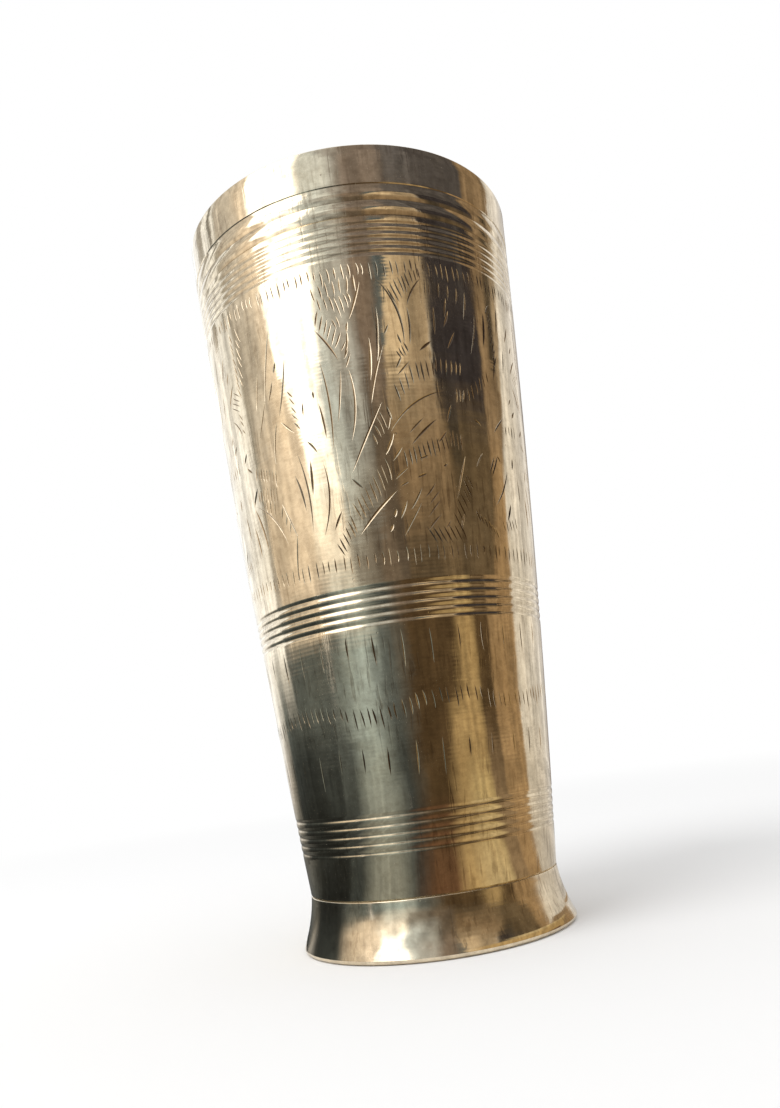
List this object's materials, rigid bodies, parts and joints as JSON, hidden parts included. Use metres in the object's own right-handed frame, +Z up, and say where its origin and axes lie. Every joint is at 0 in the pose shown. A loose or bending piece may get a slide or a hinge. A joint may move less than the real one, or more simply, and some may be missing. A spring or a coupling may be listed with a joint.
{
  "type": "tumbler",
  "caption": "Tall bronze drinking tumbler with a gently swelling tapered wall, turned ring bands, chased leaf strokes and a flared hollow foot.",
  "frame": {"origin": "centre of the circle that the foot stands on", "axes": "+Z up along the turning axis, X and Y in the standing plane"},
  "size_m": [0.0828, 0.0828, 0.17],
  "materials": {
    "polished_bronze": "polished pale bronze",
    "braze_metal": "smooth braze, duller than the polished wall"
  },
  "bodies": {
    "root": {"body_wall": "polished_bronze", "foot_ring": "polished_bronze", "floor_disc": "polished_bronze", "foot_braze": "braze_metal", "floor_braze": "braze_metal"}
  },
  "joints": []
}
